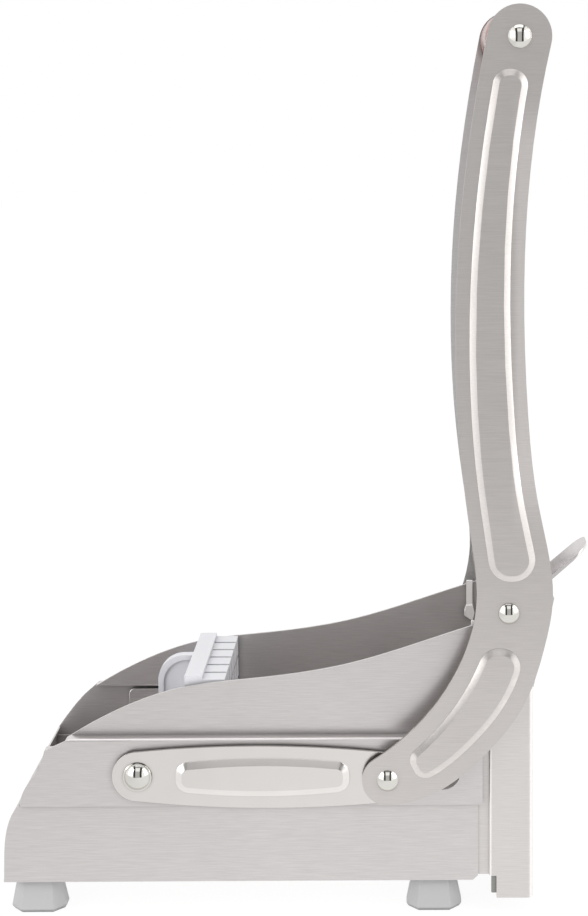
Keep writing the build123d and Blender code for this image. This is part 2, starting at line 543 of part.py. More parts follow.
def link_rivet():
    """Domed rivet in the arm's tail, with its spacer against the link."""
    rivet = rod(RIVET_X, RIVET_Z, SHANK_RADIUS, LINK_OUTER + CRIMP_GAP, ARM_OUTER)
    rivet += rod(RIVET_X, RIVET_Z, SPACER_RADIUS, LINK_OUTER + CRIMP_GAP, ARM_INNER)
    return rivet + dome(RIVET_X, RIVET_Z, RIVET_HEAD, ARM_OUTER)


# ---- links ----

def link_plate():
    """Barrel-shaped plate with a raised pad, from the slide pin to the arm's tail."""
    middle = ((PIN_X + RIVET_X) / 2, (PIN_Z + RIVET_Z) / 2)
    belly = TAIL_RADIUS + LINK_BELLY
    tops = [(PIN_X, PIN_Z + TAIL_RADIUS), (middle[0], middle[1] + belly), (RIVET_X, RIVET_Z + TAIL_RADIUS)]
    feet = [(PIN_X, PIN_Z - TAIL_RADIUS), (middle[0], middle[1] - belly), (RIVET_X, RIVET_Z - TAIL_RADIUS)]
    outline = make_face(ThreePointArc(*tops) + Line(tops[2], feet[2]) + ThreePointArc(*feet)
                        + Line(feet[0], tops[0]))
    outline += Pos(PIN_X, PIN_Z) * Circle(TAIL_RADIUS) + Pos(RIVET_X, RIVET_Z) * Circle(TAIL_RADIUS)
    outline -= Pos(PIN_X, PIN_Z) * Circle(SHANK_RADIUS + RUNNING_FIT)
    outline -= Pos(RIVET_X, RIVET_Z) * Circle(SHANK_RADIUS)
    half, rise = PAD_LENGTH / 2, PAD_HEIGHT_Z / 2
    ends = rise - PAD_BELLY
    left, right = middle[0] - half, middle[0] + half
    top, foot = middle[1] + ends, middle[1] - ends
    pad = make_face(ThreePointArc((left, top), (middle[0], middle[1] + rise), (right, top))
                    + Line((right, top), (right, foot))
                    + ThreePointArc((right, foot), (middle[0], middle[1] - rise), (left, foot))
                    + Line((left, foot), (left, top)))
    plate = near_slab(outline, LINK_INNER, LINK_OUTER)
    return press_out(plate, fillet(pad.vertices(), PAD_CORNER), LINK_OUTER, PAD_RISE, PAD_SLOPE)


def link_tail():
    """Closed end of the tail rivet, which fills the link's hole."""
    return (rod(RIVET_X, RIVET_Z, SHANK_RADIUS, LINK_INNER, LINK_OUTER)
            + rod(RIVET_X, RIVET_Z, RIVET_HEAD, LINK_INNER - WASHER_SHEET, LINK_INNER))


# ---- pusher carriage ----

def carriage_bracket():
    """Folded bracket: a cross plate behind the pusher and a cheek along each side."""
    rear_x = FLANGE_X
    plate = block((rear_x - BRACKET_SHEET, rear_x), (-CHEEK_OUTER, CHEEK_OUTER),
                  (BRACKET_BOTTOM_Z, BRACKET_TOP_Z))
    cheek = Pos((CHEEK_FRONT_X + rear_x) / 2, (CHEEK_BOTTOM_Z + BRACKET_TOP_Z) / 2) * Rectangle(
        rear_x - CHEEK_FRONT_X, BRACKET_TOP_Z - CHEEK_BOTTOM_Z)
    cheek = fillet(cheek.vertices().group_by(Axis.X)[0], CHEEK_CORNER)
    cheek -= Pos(PIN_X, PIN_Z) * Circle(SHANK_RADIUS)
    side = near_slab(cheek, CHEEK_OUTER - BRACKET_SHEET, CHEEK_OUTER)
    bracket = plate + side + far(side)
    for y in (-PUSHER_SCREW_Y, PUSHER_SCREW_Y):
        bracket -= level_rod(rear_x - BRACKET_SHEET, rear_x, y, PUSHER_SCREW_RADIUS)
    return bracket


def pusher_block():
    """Moulded pusher: flange, square fingers that pass between the blades, and a rimmed gusset."""
    bottom_z = DECK_Z + DECK_GAP
    front_x = FLANGE_X + FLANGE_DEPTH
    flange = block((FLANGE_X, front_x), (-FLANGE_HALF, FLANGE_HALF), (bottom_z, FLANGE_TOP_Z))
    width = CELL_PITCH - FINGER_GAP
    steps = [(i - (CELLS - 1) / 2) * CELL_PITCH for i in range(CELLS)]
    for y in steps:
        for z in steps:
            flange += block((front_x, front_x + FINGER_LENGTH), (y - width / 2, y + width / 2),
                            (GRID_Z + z - width / 2, GRID_Z + z + width / 2))
    back_x = FLANGE_X - GUSSET_REACH
    low_z = BRACKET_TOP_Z + SLIDE_FIT
    fin = polygon((back_x, low_z), (FLANGE_X, low_z), (FLANGE_X, FLANGE_TOP_Z), (back_x, FLANGE_TOP_Z))
    fin = fillet(fin.vertices().group_by(Axis.X)[0].sort_by(Axis.Y)[-1], GUSSET_RADIUS)
    rim = fin - Pos(GUSSET_SHEET / 2, -GUSSET_SHEET / 2) * offset(fin, -GUSSET_SHEET / 2)
    flange += slab(fin, -GUSSET_SHEET / 2, GUSSET_SHEET / 2)
    flange += slab(rim, -GUSSET_RIM / 2, GUSSET_RIM / 2)
    for y in (-PUSHER_SCREW_Y, PUSHER_SCREW_Y):
        flange -= level_rod(FLANGE_X, FLANGE_X + FLANGE_DEPTH / 2, y, PUSHER_SCREW_RADIUS)
    return flange


def level_rod(front_x, rear_x, y, radius):
    """A cylinder along X at the height of the pusher's screws."""
    place = Pos((front_x + rear_x) / 2, y, PUSHER_SCREW_Z) * Rot(0, 90, 0)
    return place * Cylinder(radius, rear_x - front_x)


def pusher_screw(y):
    seat_x = FLANGE_X - BRACKET_SHEET
    shank = level_rod(seat_x, FLANGE_X + FLANGE_DEPTH / 2, y, PUSHER_SCREW_RADIUS)
    return shank + level_rod(seat_x - SCREW_HEAD_DEPTH, seat_x, y, PUSHER_SCREW_HEAD)


def slide_pin():
    """Domed pin through link, slider and cheek, on which the link turns."""
    inner = CHEEK_OUTER - BRACKET_SHEET - WASHER_SHEET
    seat = LINK_OUTER + CRIMP_GAP + WASHER_SHEET
    pin = rod(PIN_X, PIN_Z, SHANK_RADIUS, inner, seat)
    pin += rod(PIN_X, PIN_Z, RIVET_HEAD, inner, inner + WASHER_SHEET)
    return pin + dome(PIN_X, PIN_Z, PIN_HEAD, seat)


def pin_ring(radius, inner, outer):
    return near_slab(Pos(PIN_X, PIN_Z) * (Circle(radius) - Circle(SHANK_RADIUS)), inner, outer)


def pin_washer():
    return pin_ring(PIN_WASHER_RADIUS, LINK_OUTER + CRIMP_GAP, LINK_OUTER + CRIMP_GAP + WASHER_SHEET)


def slot_roller():
    """Round slider between the cheek and the link, running in the panel's slot."""
    return pin_ring(ROLLER_RADIUS, CHEEK_OUTER, LINK_INNER - CRIMP_GAP)


# ---- blade cassette ----

def cassette_frame():
    """Rectangular rim that holds both sets of blades."""
    x_range = (CASSETTE_X, CASSETTE_REAR_X)
    rim = block(x_range, (-CASSETTE_HALF, CASSETTE_HALF), (CASSETTE_BOTTOM_Z, CASSETTE_TOP_Z))
    return rim - block(x_range, (-GRID_HALF, GRID_HALF), (GRID_Z - GRID_HALF, GRID_Z + GRID_HALF))


def blade_steps():
    return [(i - CELLS / 2) * CELL_PITCH for i in range(1, CELLS)]


def blades(upright):
    """One set of blades; each is notched half its depth where it crosses the other set."""
    start = CASSETTE_X + (CASSETTE_DEPTH - BLADE_DEPTH) / 2
    whole = (start, start + BLADE_DEPTH)
    middle = start + BLADE_DEPTH / 2
    notch = (start, middle) if upright else (middle, start + BLADE_DEPTH)
    half, slit = BLADE_SHEET / 2, BLADE_SHEET / 2 + RUNNING_FIT
    made = []
    for step in blade_steps():
        blade = block(whole, (step - half, step + half), (-GRID_HALF, GRID_HALF))
        for cross in blade_steps():
            blade -= block(notch, (step - slit, step + slit), (cross - slit, cross + slit))
        made.append(Pos(0, 0, GRID_Z) * (blade if upright else Rot(90, 0, 0) * blade))
    return solids_of(*made)


def tab_rivet_places():
    x = CASSETTE_X + (CASSETTE_DEPTH * TAB_SETBACK - TAB_SHEET) / 2
    return [(x, y) for y in (-TAB_RIVET_Y, TAB_RIVET_Y)]


def lift_tab():
    """Folded sheet on top of the cassette: foot, upright and a sloping finger tab."""
    back_x = CASSETTE_X + CASSETTE_DEPTH * TAB_SETBACK
    front_x = back_x - TAB_SHEET
    foot_top = CASSETTE_TOP_Z + TAB_SHEET
    upright = polygon((CASSETTE_X, CASSETTE_TOP_Z), (back_x, CASSETTE_TOP_Z), (back_x, TAB_KNEE_Z),
                      (front_x, TAB_KNEE_Z), (front_x, foot_top), (CASSETTE_X, foot_top))
    run = TAB_TIP_X - back_x
    climb = run * tan(radians(TAB_ANGLE))
    rise = TAB_SHEET / cos(radians(TAB_ANGLE))
    knee_foot = TAB_KNEE_Z - TAB_SHEET
    finger = polygon((front_x, knee_foot), (back_x, knee_foot), (back_x, TAB_KNEE_Z),
                     (TAB_TIP_X, TAB_KNEE_Z + climb), (TAB_TIP_X, TAB_KNEE_Z + climb + rise),
                     (front_x, TAB_KNEE_Z + rise))
    plan = Pos(front_x + (TAB_TIP_X - front_x) / 2, 0) * Rectangle(TAB_TIP_X - front_x, 2 * TAB_HALF)
    plan = fillet(plan.vertices().group_by(Axis.X)[-1], TAB_CORNER)
    tongue = slab(finger, -TAB_HALF, TAB_HALF)
    tongue &= Plane.XY.offset(knee_foot) * extrude(plan, climb + rise + TAB_SHEET)
    tab = slab(upright, -TAB_FOOT_HALF, TAB_FOOT_HALF) + tongue
    for x, y in tab_rivet_places():
        tab -= Pos(x, y, foot_top - TAB_SHEET / 2) * Cylinder(TAB_RIVET_RADIUS, TAB_SHEET)
    return tab


def tab_rivet(x, y):
    """Blind rivet through the tab's foot, with a flat head."""
    seat = CASSETTE_TOP_Z + TAB_SHEET
    return (Pos(x, y, seat - TAB_SHEET / 2) * Cylinder(TAB_RIVET_RADIUS, TAB_SHEET)
            + Pos(x, y, seat + TAB_SHEET / 2) * Cylinder(TAB_RIVET_HEAD, TAB_SHEET))


# ---- write every node ----

def all_nodes():
    nodes = {
        "base_tray": base_tray(),
        "front_apron": front_apron(),
        "chute_deck": chute_deck(),
        "end_frame": end_frame(),
        "grip": grip(),
        "grip_screws": solids_of(grip_screw(), far(grip_screw())),
        "carriage_bracket": carriage_bracket(),
        "pusher_block": pusher_block(),
        "pusher_screws": solids_of(pusher_screw(-PUSHER_SCREW_Y), pusher_screw(PUSHER_SCREW_Y)),
        "cassette_frame": cassette_frame(),
        "blades_upright": blades(True),
        "blades_level": blades(False),
        "lift_tab": lift_tab(),
        "tab_rivets": solids_of(*(tab_rivet(x, y) for x, y in tab_rivet_places())),
        "foot_screws": solids_of(*(Pos(x, y, 0) * foot_screw() for x, y in foot_places())),
    }
    for name, maker in (("side_panel", side_panel), ("cassette_guide", cassette_guide),
                        ("retaining_clip", retaining_clip), ("pivot_pin", pivot_pin),
                        ("pivot_bush", pivot_bush), ("lever_arm", lever_arm), ("link_rivet", link_rivet),
                        ("link_plate", link_plate), ("link_tail", link_tail), ("slide_pin", slide_pin),
                        ("pin_washer", pin_washer), ("slot_roller", slot_roller)):
        near = maker()
        nodes[name + "_near"], nodes[name + "_far"] = near, far(near)
    nodes["side_panel_near"] = near_panel()
    for end, x in (("front", FOOT_FRONT_X), ("rear", FOOT_REAR_X)):
        for side, y in (("near", -FOOT_Y), ("far", FOOT_Y)):
            nodes[f"foot_{end}_{side}"] = Pos(x, y, 0) * foot()
    return nodes


os.makedirs("parts", exist_ok=True)
for node, shape in all_nodes().items():
    export_step(shape, f"parts/{node}.step")
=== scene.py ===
"""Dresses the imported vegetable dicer: finishes, rounded edges, a turned grip, a studio and the camera.

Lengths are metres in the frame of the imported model: +X runs along the chute towards the blade grid, -Y is the
near side and +Z is up. Sizes that a maker would give in millimetres are multiplied by MM.
"""

from __future__ import annotations

import json
import logging
import math
from dataclasses import dataclass, field
from enum import Enum

import bpy
from mathutils import Matrix, Vector

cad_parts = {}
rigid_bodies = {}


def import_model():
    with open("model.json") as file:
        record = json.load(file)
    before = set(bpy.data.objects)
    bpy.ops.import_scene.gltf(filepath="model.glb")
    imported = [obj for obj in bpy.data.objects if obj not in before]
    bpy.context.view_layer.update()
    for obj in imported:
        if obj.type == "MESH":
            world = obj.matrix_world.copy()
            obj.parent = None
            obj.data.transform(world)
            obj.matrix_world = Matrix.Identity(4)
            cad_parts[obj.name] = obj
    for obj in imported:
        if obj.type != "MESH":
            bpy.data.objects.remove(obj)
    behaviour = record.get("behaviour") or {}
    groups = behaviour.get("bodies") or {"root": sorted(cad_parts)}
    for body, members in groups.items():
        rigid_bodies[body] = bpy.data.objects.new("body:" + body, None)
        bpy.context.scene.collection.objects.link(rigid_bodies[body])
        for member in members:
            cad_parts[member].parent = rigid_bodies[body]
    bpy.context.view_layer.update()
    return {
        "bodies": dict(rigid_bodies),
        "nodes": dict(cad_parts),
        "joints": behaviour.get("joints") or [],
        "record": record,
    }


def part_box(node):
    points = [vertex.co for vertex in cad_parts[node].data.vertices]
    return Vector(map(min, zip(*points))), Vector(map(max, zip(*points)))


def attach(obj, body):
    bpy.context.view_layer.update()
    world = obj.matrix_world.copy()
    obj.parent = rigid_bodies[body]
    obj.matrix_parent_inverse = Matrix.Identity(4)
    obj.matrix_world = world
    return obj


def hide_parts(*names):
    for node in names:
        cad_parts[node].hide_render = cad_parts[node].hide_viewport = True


MM = 0.001
PICTURE_WIDTH, PICTURE_HEIGHT = 588, 916    # pixels of the picture that the camera frames

WHITE = "#FFFFFF"
COMMON_VALUES = (0.3, 0.7)                  # nearly all values of a noise pattern lie between these
COMMON_SUMS = (0.7, 1.3)                    # and nearly all sums of two such patterns between these
# ambient occlusion at which the painted joint shade is full, and at which it is gone
JOINT_CLOSED, JOINT_OPEN = 0.35, 0.95       # how open a surface is in a tight joint, and clear of one
# How far a face of an upright sheet looks to the side, as the size of its normal's Y part: a cut edge goes
# over into a slope between the first two values, and a slope into the flat sheet between the last two.
# these bound the painted highlight on slopes and bends
CUT_EDGE = (0.05, 0.2)
FLAT_SHEET = (0.9, 0.99)
QUARTER_TURN = 0.25                         # stands the highlight of level brushed lines upright
PLASTIC_IOR = 1.5                           # of common plastics, and of lacquer too

log = logging.getLogger("vegetable_dicer")


def linear(hex_colour: str) -> tuple[float, float, float, float]:
    """Turn an sRGB hex colour into a linear one.

    Args:
        hex_colour: colour such as "#C9C6C0".

    Returns:
        Linear red, green and blue, and an alpha of 1.
    """
    channels = [int(hex_colour[i:i + 2], 16) / 255 for i in (1, 3, 5)]
    red, green, blue = ((c / 12.92 if c <= 0.04045 else ((c + 0.055) / 1.055) ** 2.4) for c in channels)
    return red, green, blue, 1.0


def add_object(name: str, data: bpy.types.ID) -> bpy.types.Object:
    """Add an object to the scene.

    Args:
        name: the object's name.
        data: its mesh, lamp or camera.

    Returns:
        The new object.
    """
    added = bpy.data.objects.new(name, data)
    bpy.context.scene.collection.objects.link(added)
    return added


def add_mesh(name: str, points: list[tuple[float, ...]], faces: list[tuple[int, ...]]) -> bpy.types.Object:
    """Add a mesh object to the scene.

    Args:
        name: name of the mesh and of its object.
        points: places of the corners.
        faces: numbers of the corners round each face.

    Returns:
        The new object.
    """
    mesh = bpy.data.meshes.new(name)
    mesh.from_pydata(points, [], faces)
    mesh.validate()
    return add_object(name, mesh)


def add_node(tree: bpy.types.NodeTree, kind: str, inputs: dict | None = None,
             **settings: object) -> bpy.types.Node:
    """Add one node with its settings, socket values and links.

    Args:
        tree: node tree to add to.
        kind: the node's type name.
        inputs: socket name or number to a value, or to an output socket that is linked to it.
        settings: attributes of the node.

    Returns:
        The new node.
    """
    node = tree.nodes.new(kind)
    for name, value in settings.items():
        setattr(node, name, value)
    for socket, value in (inputs or {}).items():
        if isinstance(value, bpy.types.NodeSocket):
            tree.links.new(value, node.inputs[socket])
        else:
            node.inputs[socket].default_value = value
    return node


def empty_material(name: str) -> bpy.types.Material:
    """Make a material whose node tree is empty.

    Args:
        name: the material's name.

    Returns:
        The new material.
    """
    material = bpy.data.materials.new(name)
    material.use_nodes = True
    material.node_tree.nodes.clear()
    return material


def painted_joint_shade(tree: bpy.types.NodeTree, reach: float, depth: float) -> bpy.types.NodeSocket:
    """Darken a surface where another piece stands close to it, as painted shade in a joint.

    Args:
        tree: node tree to add to.
        reach: how far from the joint the dark ends.
        depth: how much of the colour is lost at the bottom of the joint.

    Returns:
        A socket that is 1 in the open and 1 - depth in a tight joint.
    """
    near = add_node(tree, "ShaderNodeAmbientOcclusion", {"Distance": reach}, samples=8)
    shade = add_node(tree, "ShaderNodeMapRange", {
        "Value": near.outputs["AO"], "From Min": JOINT_CLOSED, "From Max": JOINT_OPEN,
        "To Min": 1 - depth, "To Max": 1.0})
    return shade.outputs["Result"]


def painted_slope_highlight(tree: bpy.types.NodeTree, gain: float) -> bpy.types.NodeSocket:
    """Brighten the bends, rims and pressed slopes of an upright sheet, as a painted highlight.

    Args:
        tree: node tree to add to.
        gain: how much brighter such a slope is than the flat sheet.

    Returns:
        A socket that is 1 on the sheet's flats and 1 + gain on its slopes.
    """
    place = add_node(tree, "ShaderNodeTexCoord")
    axes = add_node(tree, "ShaderNodeSeparateXYZ", {"Vector": place.outputs["Normal"]})
    facing = add_node(tree, "ShaderNodeMath", {0: axes.outputs["Y"]}, operation="ABSOLUTE")
    shade: float | bpy.types.NodeSocket = 1.0
    for (start, end), beyond in ((CUT_EDGE, 1 + gain), (FLAT_SHEET, 1.0)):
        step = add_node(tree, "ShaderNodeMapRange", {
            "Value": facing.outputs["Value"], "From Min": start, "From Max": end, "To Min": shade,
            "To Max": beyond})
        shade = step.outputs["Result"]
    return shade


def tinted(tree: bpy.types.NodeTree, hex_colour: str, *tones: bpy.types.NodeSocket) -> bpy.types.NodeSocket:
    """Multiply a colour by tones.

    Args:
        tree: node tree to add to.
        hex_colour: sRGB hex colour.
        tones: sockets around 1.

    Returns:
        A socket with the varied colour.
    """
    colour: Vector | bpy.types.NodeSocket = Vector(linear(hex_colour)[:3])
    for tone in tones:
        mixed = add_node(tree, "ShaderNodeVectorMath", {0: colour, 1: tone}, operation="MULTIPLY")
        colour = mixed.outputs["Vector"]
    return colour


def spread(tree: bpy.types.NodeTree, value: bpy.types.NodeSocket, middle: float, swing: float,
           common: tuple[float, float] = COMMON_VALUES) -> bpy.types.NodeSocket:
    """Map a pattern's value to a range about a middle.

    Args:
        tree: node tree to add to.
        value: the pattern's value.
        middle: middle of the new range.
        swing: how far the new range reaches to each side.
        common: pattern values that give the range's lower and upper end.

    Returns:
        A socket with the mapped value.
    """
    low, high = common
    mapped = add_node(tree, "ShaderNodeMapRange", {
        "Value": value, "From Min": low, "From Max": high,
        "To Min": middle - swing, "To Max": middle + swing})
    return mapped.outputs["Result"]


class Grain(Enum):
    """Direction in which a sheet was brushed, as the axis that its lines run along."""

    ALONG_X = 0
    ALONG_Y = 1


@dataclass(frozen=True)
class BrushedSteel:
    """Stainless sheet drawn under an abrasive belt: fine parallel lines, and a highlight spread across them.

    Attributes:
        name: the material's name.
        colour: sRGB hex reflection colour.
        roughness: mean roughness of the belt finish.
        roughness_swing: how far lines and patches vary it.
        anisotropy: how far the highlight spreads across the lines.
        grain: direction of the lines.
        line_width: width of one visible line. Real grit lines of about 0.1 mm are too fine to show, so they
            are drawn about as wide as one pixel of the picture.
        line_length: mean length of a line.
        line_depth: height of the relief.
        contrast: how much the lines vary the reflection colour.
        cloud_size: size of the faint patches that the belt leaves.
        painted_shade_reach: how far from a joint its dark ends.
        painted_shade_depth: how much of the colour is lost in a tight joint.
        painted_highlight_gain: how much brighter its bends, rims and pressed slopes are.
        metallic: share of bare metal; the rest is the matt haze that the belt leaves.
    """

    name: str
    colour: str
    roughness: float = 0.34
    roughness_swing: float = 0.04
    anisotropy: float = 0.7
    grain: Grain = Grain.ALONG_X
    line_width: float = 0.5 * MM
    line_length: float = 12 * MM
    line_depth: float = 0.012 * MM
    contrast: float = 0.055
    cloud_size: float = 45 * MM
    # painted shade in joints: how far it reaches, and how much it darkens
    painted_shade_reach: float = 4 * MM
    painted_shade_depth: float = 0.7
    # painted highlight on bends, rims and pressed slopes
    painted_highlight_gain: float = 0.22
    metallic: float = 0.84

    def material(self) -> bpy.types.Material:
        """Build the material.

        Returns:
            A material with brushed lines in its colour, roughness and relief.
        """
        material = empty_material(self.name)
        tree = material.node_tree
        place = add_node(tree, "ShaderNodeTexCoord")
        scale = [1 / self.line_width] * 3
        scale[self.grain.value] = 1 / self.line_length
        stretched = add_node(tree, "ShaderNodeMapping", {"Vector": place.outputs["Object"], "Scale": scale})
        lines = add_node(tree, "ShaderNodeTexNoise", {
            "Vector": stretched.outputs["Vector"], "Scale": 1.0, "Detail": 3.0, "Roughness": 0.6})
        clouds = add_node(tree, "ShaderNodeTexNoise", {
            "Vector": place.outputs["Object"], "Scale": 1 / self.cloud_size, "Detail": 2.0})
        colour = tinted(tree, self.colour, spread(tree, lines.outputs["Fac"], 1.0, self.contrast),
                        painted_joint_shade(tree, self.painted_shade_reach, self.painted_shade_depth),
                        painted_slope_highlight(tree, self.painted_highlight_gain), *self.extra_tones(tree, place))
        worn = add_node(tree, "ShaderNodeMath", {
            0: lines.outputs["Fac"], 1: clouds.outputs["Fac"]}, operation="ADD")
        rough = spread(tree, worn.outputs["Value"], self.roughness, self.roughness_swing, COMMON_SUMS)
        relief = add_node(tree, "ShaderNodeBump", {
            "Height": lines.outputs["Fac"], "Strength": 0.5, "Distance": self.line_depth})
        across = add_node(tree, "ShaderNodeTangent", direction_type="RADIAL", axis="Z")
        shader = add_node(tree, "ShaderNodeBsdfPrincipled", {
            "Base Color": colour, "Metallic": self.metallic, "Roughness": rough,
            "Anisotropic": self.anisotropy, "Anisotropic Rotation": QUARTER_TURN,
            "Normal": relief.outputs["Normal"], "Tangent": across.outputs["Tangent"]})
        add_node(tree, "ShaderNodeOutputMaterial", {"Surface": shader.outputs["BSDF"]})
        return material

    def extra_tones(self, tree: bpy.types.NodeTree, place: bpy.types.Node) -> list[bpy.types.NodeSocket]:
        """Give no more tones: plain sheet has its lines, its painted joint shade and its painted slope
        highlight alone.
        """
        return []


@dataclass(frozen=True)
class SatinSteel:
    """Stainless steel pressed and then tumbled: an even satin with faint clouds and no clear lines.

    Attributes:
        name: the material's name.
        colour: sRGB hex reflection colour.
        roughness: mean roughness.
        roughness_share: share of the roughness by which the patches vary it.
        metallic: 1 for bare metal, less where a matt oxide covers part of it.
        cloud_size: size of the faint patches that handling and pressing leave.
        contrast: how much the patches vary the reflection colour.
        painted_shade_reach: how far from a joint its dark ends.
        painted_shade_depth: how much of the colour is lost in a tight joint.
        painted_highlight_gain: how much brighter the slopes of its pad are painted, as a highlight.
    """

    name: str
    colour: str
    roughness: float = 0.25
    roughness_share: float = 0.1
    metallic: float = 1.0
    cloud_size: float = 14 * MM
    contrast: float = 0.04
    # painted shade in joints: how far it reaches, and how much it darkens
    painted_shade_reach: float = 2 * MM
    painted_shade_depth: float = 0.5
    # painted highlight on the slopes of a pad
    painted_highlight_gain: float = 0.0

    def material(self) -> bpy.types.Material:
        """Build the material.

        Returns:
            A material with faint patches in its colour and roughness.
        """
        material = empty_material(self.name)
        tree = material.node_tree
        place = add_node(tree, "ShaderNodeTexCoord")
        clouds = add_node(tree, "ShaderNodeTexNoise", {
            "Vector": place.outputs["Object"], "Scale": 1 / self.cloud_size, "Detail": 2.0, "Roughness": 0.5})
        colour = tinted(tree, self.colour, spread(tree, clouds.outputs["Fac"], 1.0, self.contrast),
                        painted_joint_shade(tree, self.painted_shade_reach, self.painted_shade_depth),
                        painted_slope_highlight(tree, self.painted_highlight_gain))
        rough = spread(tree, clouds.outputs["Fac"], self.roughness, self.roughness_share * self.roughness)
        shader = add_node(tree, "ShaderNodeBsdfPrincipled", {
            "Base Color": colour, "Metallic": self.metallic, "Roughness": rough})
        add_node(tree, "ShaderNodeOutputMaterial", {"Surface": shader.outputs["BSDF"]})
        return material


@dataclass(frozen=True)
class MouldedPlastic:
    """Injection-moulded plastic: a fine spark-eroded texture, and a little light passing through thin walls.

    Attributes:
        name: the material's name.
        colour: sRGB hex colour.
        roughness: mean roughness.
        glow: share of the light that scatters below the surface.
        glow_reach: how far its red, green and blue go there.
        texture_size: grain size of the mould's texture. The real one, of about 0.05 mm, is too fine to show,
            so it is drawn nearly as wide as one pixel of the picture.
        texture_depth: height of its relief.
        mottle: how much it varies the colour.
        painted_shade_reach: how far from a joint its dark ends.
        painted_shade_depth: how much of the colour is lost in a tight joint.
    """

    name: str
    colour: str
    roughness: float = 0.42
    glow: float = 0.0
    glow_reach: tuple[float, float, float] = (3 * MM, 3 * MM, 3.5 * MM)
    texture_size: float = 0.4 * MM
    texture_depth: float = 0.02 * MM
    mottle: float = 0.015
    # painted shade in joints: how far it reaches, and how much it darkens
    painted_shade_reach: float = 3 * MM
    painted_shade_depth: float = 0.4

    def material(self) -> bpy.types.Material:
        """Build the material.

        Returns:
            A material with a fine moulded texture.
        """
        material = empty_material(self.name)
        tree = material.node_tree
        place = add_node(tree, "ShaderNodeTexCoord")
        texture = add_node(tree, "ShaderNodeTexNoise", {
            "Vector": place.outputs["Object"], "Scale": 1 / self.texture_size, "Detail": 2.0})
        colour = tinted(tree, self.colour, spread(tree, texture.outputs["Fac"], 1.0, self.mottle),
                        painted_joint_shade(tree, self.painted_shade_reach, self.painted_shade_depth))
        relief = add_node(tree, "ShaderNodeBump", {
            "Height": texture.outputs["Fac"], "Strength": 0.3, "Distance": self.texture_depth})
        shader = add_node(tree, "ShaderNodeBsdfPrincipled", {
            "Base Color": colour, "Roughness": self.roughness, "IOR": PLASTIC_IOR,
            "Subsurface Weight": self.glow, "Subsurface Radius": self.glow_reach,
            "Subsurface Scale": 1.0, "Normal": relief.outputs["Normal"]})
        add_node(tree, "ShaderNodeOutputMaterial", {"Surface": shader.outputs["BSDF"]})
        return material


@dataclass(frozen=True)
class LacqueredBeech:
    """Turned beech, stained red-brown and lacquered: streaks along the bar under a clear, smooth coat.

    Attributes:
        name: the material's name.
        light: sRGB hex colour of the pale wood between the streaks.
        dark: sRGB hex colour of the streaks.
        streak_width: width of a streak, as of the pores between two year rings.
        streak_length: length of a streak along the bar.
        streak_depth: height of the relief that they leave under the coat.
        streak_bounds: pattern values of full streak and of pale wood.
        roughness: roughness of the wood.
        coat: share of the surface that the lacquer covers.
        coat_roughness: roughness of the lacquer.
    """

    name: str
    light: str
    dark: str
    streak_width: float = 1.2 * MM
    streak_length: float = 35 * MM
    streak_depth: float = 0.04 * MM
    streak_bounds: tuple[float, float] = (0.35, 0.62)
    roughness: float = 0.4
    coat: float = 0.6
    coat_roughness: float = 0.12

    def material(self) -> bpy.types.Material:
        """Build the material.

        Returns:
            A material with streaks along Y under a lacquer coat.
        """
        material = empty_material(self.name)
        tree = material.node_tree
        place = add_node(tree, "ShaderNodeTexCoord")
        scale = (1 / self.streak_width, 1 / self.streak_length, 1 / self.streak_width)
        stretched = add_node(tree, "ShaderNodeMapping", {"Vector": place.outputs["Object"], "Scale": scale})
        streaks = add_node(tree, "ShaderNodeTexNoise", {
            "Vector": stretched.outputs["Vector"], "Scale": 1.0, "Detail": 4.0, "Distortion": 0.4})
        ramp = add_node(tree, "ShaderNodeValToRGB", {"Fac": streaks.outputs["Fac"]})
        for stop, bound, colour in zip(ramp.color_ramp.elements, self.streak_bounds, (self.dark, self.light)):
            stop.position, stop.color = bound, linear(colour)
        relief = add_node(tree, "ShaderNodeBump", {
            "Height": streaks.outputs["Fac"], "Strength": 0.2, "Distance": self.streak_depth})
        shader = add_node(tree, "ShaderNodeBsdfPrincipled", {
            "Base Color": ramp.outputs["Color"], "Roughness": self.roughness, "IOR": PLASTIC_IOR,
            "Coat Weight": self.coat, "Coat Roughness": self.coat_roughness,
            "Normal": relief.outputs["Normal"]})
        add_node(tree, "ShaderNodeOutputMaterial", {"Surface": shader.outputs["BSDF"]})
        return material


